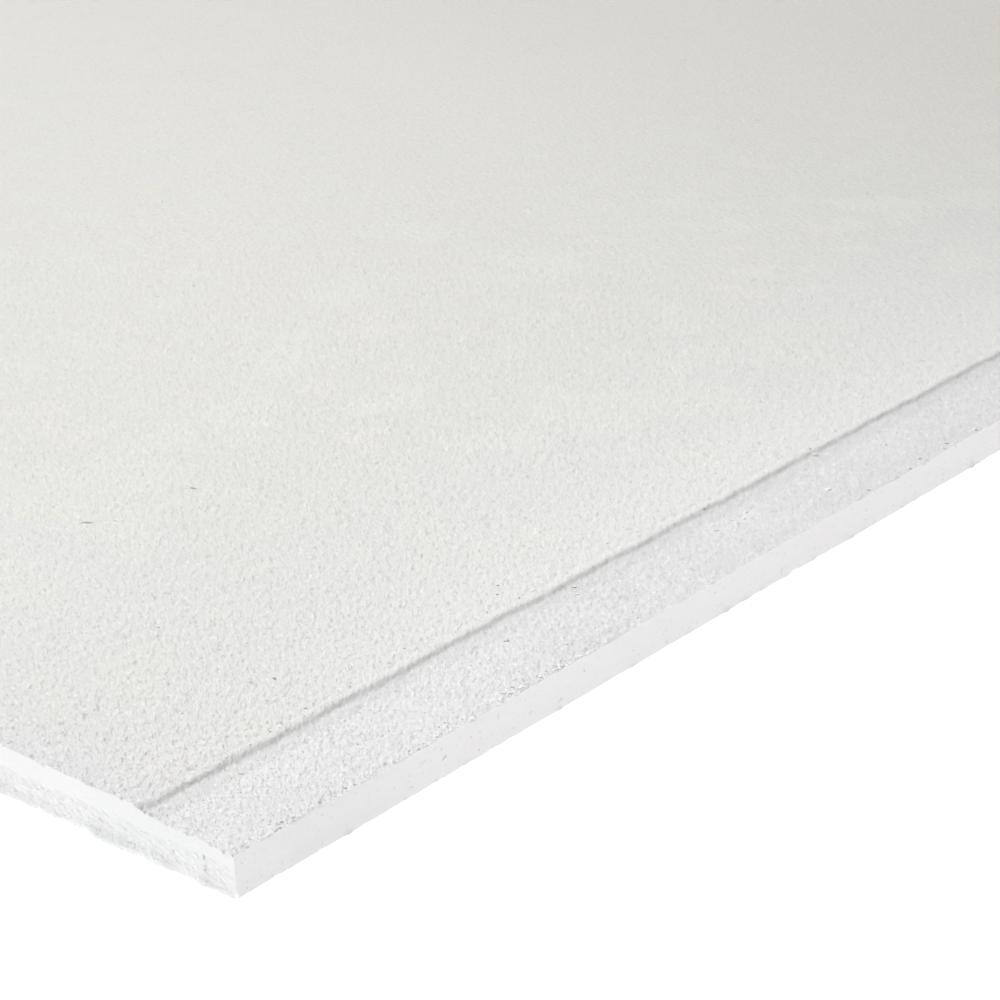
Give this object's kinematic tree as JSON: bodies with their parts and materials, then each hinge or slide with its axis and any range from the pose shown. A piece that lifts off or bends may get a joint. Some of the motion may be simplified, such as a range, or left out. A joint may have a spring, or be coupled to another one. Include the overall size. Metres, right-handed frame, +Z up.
{
  "type": "drywall sheet",
  "caption": "Flat paperless gypsum fibre drywall board with square-cut ends and a shallow flattened strip along each long edge for the joint.",
  "frame": {"origin": "middle of the flat back face, which lies on the floor", "axes": "+X across the board from long edge to long edge, +Y along the long edges, +Z up out of the front face with the recessed edges"},
  "size_m": [1.25, 2.5, 0.0125],
  "materials": {
    "gypsum": "matte"
  },
  "bodies": {
    "root": {"gypsum_board": "gypsum"}
  },
  "joints": []
}
